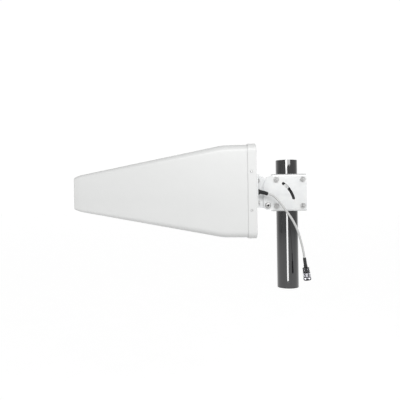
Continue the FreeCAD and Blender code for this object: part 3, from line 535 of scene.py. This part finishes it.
def rounded_ring(x, high, thick, corner, steps=10):
    """A rounded rectangle across the radome's length."""
    mid_y, mid_z = RADOME_MIDDLE
    ring = []
    for quarter in range(4):
        turn = quarter * math.pi / 2
        y_sign = 1 if quarter in (0, 3) else -1
        z_sign = 1 if quarter in (0, 1) else -1
        centre = (mid_y + y_sign * (thick / 2 - corner), mid_z + z_sign * (high / 2 - corner))
        for k in range(steps + 1):
            angle = turn + math.pi / 2 * k / steps
            across, up = corner * math.cos(angle), corner * math.sin(angle)
            ring.append(Vector((x, centre[0] + across, centre[1] + up)))
    return ring


def eased(stations, reach, steps=6):
    """Stations with each inner bend turned into a short smooth curve."""
    most = 0.45
    made = [stations[0]]
    for before, here, after in zip(stations, stations[1:], stations[2:]):
        span_before = min(most, reach / abs(here[0] - before[0]))
        span_after = min(most, reach / abs(after[0] - here[0]))
        start = [h + (b - h) * span_before for b, h in zip(before, here)]
        end = [h + (a - h) * span_after for a, h in zip(after, here)]
        for i in range(steps + 1):
            t = i / steps
            back = 1 - t
            made.append([s * back ** 2 + 2 * h * t * back + e * t * t for s, h, e in zip(start, here, end)])
    return [*made, stations[-1]]


def make_radome():
    """A hollow tapered shell, its nose rounded over and its back open."""
    rear, shoulder = (-83.5, 206, 62, 16), (-154.5, 204, 61, 16)
    nose_bend, tip = (-471.5, 81, 38, 8), (-481.8, 72, 34.7, 6.7)
    stations = [[v * MM for v in row] for row in (rear, shoulder, nose_bend, tip)]
    outer = eased(stations, 9 * MM)
    nose_x, nose_high, nose_thick, nose_corner = outer[-1]
    nose = []
    steps = 8
    for i in range(1, steps + 1):
        turn = math.pi / 2 * i / steps
        inset = NOSE_ROUND * (1 - math.cos(turn)) + NOSE_FLAT * i / steps
        nose.append((nose_x - NOSE_ROUND * math.sin(turn), nose_high - 2 * inset, nose_thick - 2 * inset,
                     nose_corner - inset * 0.8))
    inner = [(x, high - 2 * RADOME_WALL, thick - 2 * RADOME_WALL, corner - RADOME_WALL)
             for x, high, thick, corner in outer]
    inner[-1] = (nose_x + RADOME_WALL, *inner[-1][1:])
    rings = [rounded_ring(*row) for row in (*reversed(inner), *outer, *nose)]
    finished("radome_moulding", ring_shell(rings), "radome_plastic", "antenna", "radome_shell", sharp=40)


def make_skirt_rib():
    """The moulded rib that the rear cap's skirt butts against, with a hairline gap."""
    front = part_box("rear_cap")[0].x
    high, thick, corner = 206.0, 62.0, 16.1
    rings = []
    for ahead, rise in ((0.3, -0.2), (1.6, -0.2), (1.3, 0.3), (0.7, 0.7), (0.3, 0.7)):
        sizes = ((high + 2 * rise) * MM, (thick + 2 * rise) * MM, (corner + rise) * MM)
        rings.append(rounded_ring(front - ahead * MM, *sizes))
    finished("skirt_rib", ring_shell(rings, closed=True), "radome_plastic", "antenna")


def make_cap_screws():
    """Pan-head screws with a socket, through the skirt on both faces."""
    low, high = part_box("cap_screws")
    socket = hexagonal(1.6 * MM, 1.85 * MM)
    long = 6
    shank = [(0, 1.4), (4.4, 1.4)]
    pan = [(4.4, 2.8), (4.6, 2.9), (5.0, 2.9), (5.5, 2.7), (5.85, 2.4), (long, 2.0)]
    hollow = [(long, socket), (4.6, socket), (4.3, 0.6)]
    levels = in_mm(*shank, *pan, *hollow)
    meshes = []
    for front, out in ((low.y, -1), (high.y, 1)):
        for z in (RADOME_UP + CAP_SCREW_SPREAD, RADOME_UP - CAP_SCREW_SPREAD):
            start = Vector((-92 * MM, front - out * long * MM, z * MM))
            meshes.append(lathe(levels, start, (0, out, 0), 48))
    finished("cap_screws_pan", joined(meshes), "stainless", "antenna", "cap_screws")


make_radome()
make_skirt_rib()
make_cap_screws()
softened("rear_cap", 0.5 * MM, "rear_cap_moulding", segments=3)


# --- fixings -------------------------------------------------------------------------------------

BOLT_SPREAD = 30 * MM
BRACKET_UP = 222 * MM
PIVOT = Vector((-50, 0, 193)) * MM
# These four are in millimetres.
PIVOT_PITCH = 1.25
MAST_WALL = 2
ARM_BOLT_UP = 224
ARM_BOLT_SPREAD = 25


def threaded_levels(start, end, radius, pitch=1.0):
    """Levels of a screw thread in millimetres, from start to end along the axis."""
    count = int((end - start) / (pitch / 2))
    step = (end - start) / count
    deep = 0.3 * pitch
    return [(start + step * i, radius - (deep if i % 2 else 0)) for i in range(count + 1)]


def make_u_bolt(name, height):
    """A bent rod round the mast with threaded legs, their tips chamfered."""
    low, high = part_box(name)
    rod = 3 * MM
    bend_at = high.y - rod - BOLT_SPREAD
    tip = low.y
    leg = bend_at - tip
    thread_long = 24 * MM
    thread_start, half_pitch = 0.7, 0.5
    thread_deep = 0.32 * MM
    chamfer = 0.6 * MM
    count = int(thread_long / MM / half_pitch)
    steps = [0, thread_start / 2, thread_start] + [thread_start + half_pitch * i for i in range(1, count)]
    runs = [s * MM for s in steps] + [thread_long + 1 * MM, leg]
    points = [Vector((BOLT_SPREAD, tip + run, height)) for run in runs]
    bend_steps = 48
    for i in range(1, bend_steps):
        angle = math.pi * i / bend_steps
        across, back = BOLT_SPREAD * math.cos(angle), BOLT_SPREAD * math.sin(angle)
        points.append(Vector((across, bend_at + back, height)))
    points += [Vector((-BOLT_SPREAD, tip + run, height)) for run in reversed(runs)]
    total = sum((b - a).length for a, b in zip(points, points[1:]))

    def radius(run):
        from_tip = min(run, total - run)
        if from_tip < chamfer + 0.05 * MM:
            return rod - chamfer + from_tip
        if from_tip < thread_long - 0.4 * MM:
            half_turn = round((from_tip / MM - thread_start) / half_pitch)
            return rod - (thread_deep if half_turn % 2 else 0)
        return rod

    finished(f"{name}_rod", swept(points, radius, 32), "stainless", "mast_bracket", name, sharp=40)


def make_u_bolt_nuts():
    low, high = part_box("u_bolt_nuts")
    nuts = []
    for x in (-BOLT_SPREAD, BOLT_SPREAD):
        for z in (BRACKET_UP - BOLT_SPREAD, BRACKET_UP + BOLT_SPREAD):
            nuts.append(hex_nut(5 * MM, high.y - low.y, 3.02 * MM, (x, high.y, z), (0, -1, 0)))
    finished("u_bolt_nuts_hex", joined(nuts), "stainless", "mast_bracket", "u_bolt_nuts", sharp=28)


def make_pivot():
    """The pivot's button-head screw, a black disc in its socket as painted shade, and the locknut behind."""
    low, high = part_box("pivot_screw")
    socket = hexagonal(2.5 * MM, 2.89 * MM)
    under = (high.y + 35.5 * MM) / MM
    button = ((0, 6.6), (0.3, 7.0), (0.9, 7.0), (1.9, 6.5), (2.8, 5.5), (3.35, 4.4), (3.6, 3.3),
              (3.6, socket), (1.2, socket))
    head = [(under + rise, radius) for rise, radius in button]
    thread = threaded_levels(0.9, 8.4, 4, PIVOT_PITCH)
    levels = in_mm((0, 3.3), (0.7, 3.95), *thread, (8.8, 4.0), (under, 4.0), *head)
    mesh = lathe(levels, Vector((PIVOT.x, high.y, PIVOT.z)), (0, -1, 0), 96)
    finished("pivot_screw_button", mesh, "stainless", "mast_bracket", "pivot_screw")

    # A black rubber disc sits 0.9 mm inside the socket's mouth and stands in for the socket's shade: painted
    # shade.
    plug = in_mm((0, 2.3), (1.5, 2.3), (1.8, 2.0), (1.9, 1.4))
    front = Vector((PIVOT.x, low.y + 0.9 * MM, PIVOT.z))
    finished("pivot_socket_shade_disc", lathe(plug, front, (0, -1, 0), 48), "black_rubber", "mast_bracket")

    low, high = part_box("pivot_nut")
    start = (PIVOT.x, low.y, PIVOT.z)
    nut = hex_nut(6.5 * MM, high.y - low.y, 4.06 * MM, start, (0, 1, 0), PIVOT_PITCH * MM)
    finished("pivot_locknut", nut, "stainless", "mast_bracket", "pivot_nut", sharp=28)


def make_arm_bolts():
    """Hexagon bolts with a shallow dish in their heads."""
    low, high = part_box("arm_bolts")
    head_high = 4
    shank = (high.x - low.x) / MM - head_high
    sides = [(shank + rise / MM, radius) for rise, radius in chamfered_hex(5 * MM, head_high * MM)]
    dish = [(shank + head_high, 4.4), (shank + 3.7, 4.0), (shank + 3.7, 1)]
    thread = threaded_levels(0.9, shank - 1, 3.0)
    levels = in_mm((0, 2.4), (0.6, 2.95), *thread, (shank, 3.0), (shank, 4.9), *sides, *dish)
    bolts = []
    for z in (ARM_BOLT_UP - ARM_BOLT_SPREAD, ARM_BOLT_UP + ARM_BOLT_SPREAD):
        bolts.append(lathe(levels, Vector((low.x, -50 * MM, z * MM)), (1, 0, 0), 96))
    finished("arm_bolts_hex", joined(bolts), "stainless", "antenna", "arm_bolts", sharp=28)


def make_mast():
    low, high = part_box("mast_tube")
    radius = (high.x - low.x) / 2 / MM
    bore = radius - MAST_WALL
    long = (high.z - low.z) / MM
    outside = [(0, radius - 0.4), (0.1, radius - 0.1), (0.5, radius), (long - 0.5, radius),
               (long - 0.1, radius - 0.1), (long, radius - 0.4)]
    inside = [(long, bore + 0.3), (long - 0.3, bore), (0.3, bore)]
    levels = in_mm((0, bore + 0.3), *outside, *inside)
    mesh = lathe(levels, (0, 0, low.z), (0, 0, 1), 192, closed=True)
    return finished("mast_pipe", mesh, "mast_black", "mast", "mast_tube", sharp=50)


mast_pipe = make_mast()
make_u_bolt("upper_u_bolt", BRACKET_UP + BOLT_SPREAD)
make_u_bolt("lower_u_bolt", BRACKET_UP - BOLT_SPREAD)
make_u_bolt_nuts()
make_pivot()
make_arm_bolts()

SOFTENED = (
    ("mast_bracket", 0.35, "mast_bracket_sheet"),
    ("antenna_arm", 0.35, "antenna_arm_sheet"),
    ("u_bolt_washers", 0.15, "u_bolt_washers_flat"),
    ("pivot_washers", 0.15, "pivot_washers_flat"),
    ("arm_bolt_washers", 0.15, "arm_bolt_washers_flat"),
    ("guide_pin", 0.3, "guide_pin_riveted"),
    ("cable_gland", 0.3, "cable_gland_turned"),
)
for node_name, edge_width, piece_name in SOFTENED:
    softened(node_name, edge_width * MM, piece_name)


# --- camera, light and floor ---------------------------------------------------------------------

CAMERA_AT = (-0.205, -1.05, 0.2078)
CAMERA_ROLL = math.radians(0.88)
FLOOR_AT = (-0.2, -0.25, -0.6)
FLOOR_HALF = 30


def make_camera():
    """Looks straight along +Y, level, with a slight roll."""
    lens = bpy.data.cameras.new("camera")
    lens.lens = 40
    lens.sensor_width = 36
    camera = bpy.data.objects.new("camera", lens)
    camera.location = CAMERA_AT
    camera.rotation_euler = (math.pi / 2, CAMERA_ROLL, 0)
    bpy.context.scene.collection.objects.link(camera)
    bpy.context.scene.camera = camera


def make_world():
    """Pale light all round, brighter towards +Y, where it is the backdrop, and dimmer overhead."""
    world = bpy.data.worlds.new("world")
    world.use_nodes = True
    sky = world.node_tree
    where = sky.nodes.new("ShaderNodeTexCoord")
    parts = sky.nodes.new("ShaderNodeSeparateXYZ")
    sky.links.new(where.outputs["Generated"], parts.inputs["Vector"])
    strength = sky.nodes.new("ShaderNodeMath")
    strength.operation = "MULTIPLY"
    sky.links.new(mapped(sky, parts.outputs["Y"], 0.58, 1.02, 0.2, 0.75), strength.inputs[0])
    sky.links.new(mapped(sky, parts.outputs["Z"], 1.0, 0.4, 0.4, 0.95), strength.inputs[1])
    background = sky.nodes["Background"]
    sky.links.new(strength.outputs["Value"], background.inputs["Strength"])
    background.inputs["Color"].default_value = (1, 1, 1, 1)
    bpy.context.scene.world = world
    bpy.context.scene.view_settings.view_transform = "Standard"


def make_floor():
    """A pale floor that glows: near its middle the glow follows the distance and is dimmed under the object
    as a painted shadow, and further off it follows how far it is towards +Y.
    """
    mesh = bpy.data.meshes.new("floor")
    build = bmesh.new()
    bmesh.ops.create_grid(build, x_segments=1, y_segments=1, size=FLOOR_HALF)
    build.to_mesh(mesh)
    build.free()
    floor = bpy.data.objects.new("floor", mesh)
    floor.location = FLOOR_AT
    bpy.context.scene.collection.objects.link(floor)

    s = Shader("floor")
    grain = s.noise(6, 4)
    s.colour(s.ramp(grain, (0.3, (0.50, 0.50, 0.50)), (0.7, (0.52, 0.52, 0.52))))
    far = s.add("ShaderNodeVectorMath", operation="LENGTH")
    s.link(s.place, far.inputs[0])
    parts = s.add("ShaderNodeSeparateXYZ")
    s.link(s.place, parts.inputs[0])
    facing = s.add("ShaderNodeMath", operation="DIVIDE")
    s.link(parts.outputs["Y"], facing.inputs[0])
    s.link(far.outputs["Value"], facing.inputs[1])
    glow = s.add("ShaderNodeMix")
    s.link(s.between(far.outputs["Value"], 0, 1, 2.5, 8), glow.inputs[0])
    # The glow falls to 0.05 within 0.3 m of the middle, right under the object: a painted shadow.
    s.link(s.between(far.outputs["Value"], 0.05, 0.72, 0.3, 0.95), glow.inputs[2])
    s.link(s.between(facing.outputs["Value"], 0.27, 0.72, 0.2, 0.75), glow.inputs[3])
    s.link(glow.outputs[0], s.bsdf.inputs["Emission Strength"])
    s.set(Emission_Color=(1, 1, 1, 1), Roughness=0.9)
    floor.data.materials.append(s.material)


def area_light(name, at, towards, power, wide, high, only=None):
    """A rectangular lamp in watts and metres. With a collection in only, it lights nothing else."""
    light = bpy.data.lights.new(name, "AREA")
    light.shape = "RECTANGLE"
    light.size = wide
    light.size_y = high
    light.energy = power
    lamp = bpy.data.objects.new(name, light)
    lamp.location = at
    lamp.visible_camera = False
    lamp.light_linking.receiver_collection = only
    lamp.rotation_euler = (Vector(towards) - Vector(at)).to_track_quat("-Z", "Y").to_euler()
    bpy.context.scene.collection.objects.link(lamp)


def gathered(name, *pieces):
    """A collection of pieces for a lamp to be linked to."""
    made = bpy.data.collections.new(name)
    for piece in pieces:
        made.objects.link(piece)
    return made


def make_lamps():
    """A soft key lamp on everything, a tall strip on the mast and two small boxes on the plug."""
    mast = (0, 0, 0.08)
    plug = middle("coupling_nut")
    mast_only = gathered("mast_only", mast_pipe)
    plug_only = gathered("plug_only", *plug_pieces)
    area_light("strip", (-0.287, -1.47, 0.08), mast, 22, 0.42, 1.5, mast_only)
    area_light("key", (0.1, -1.2, 0.9), (-0.12, 0, 0.2), 11.7, 1.2, 0.5)
    area_light("right_box", (1.15, -1.04, -0.11), plug, 3, 0.15, 0.22, plug_only)
    area_light("left_box", (-1.32, -0.5, -0.42), plug, 3, 0.15, 0.22, plug_only)


make_camera()
make_world()
make_floor()
make_lamps()
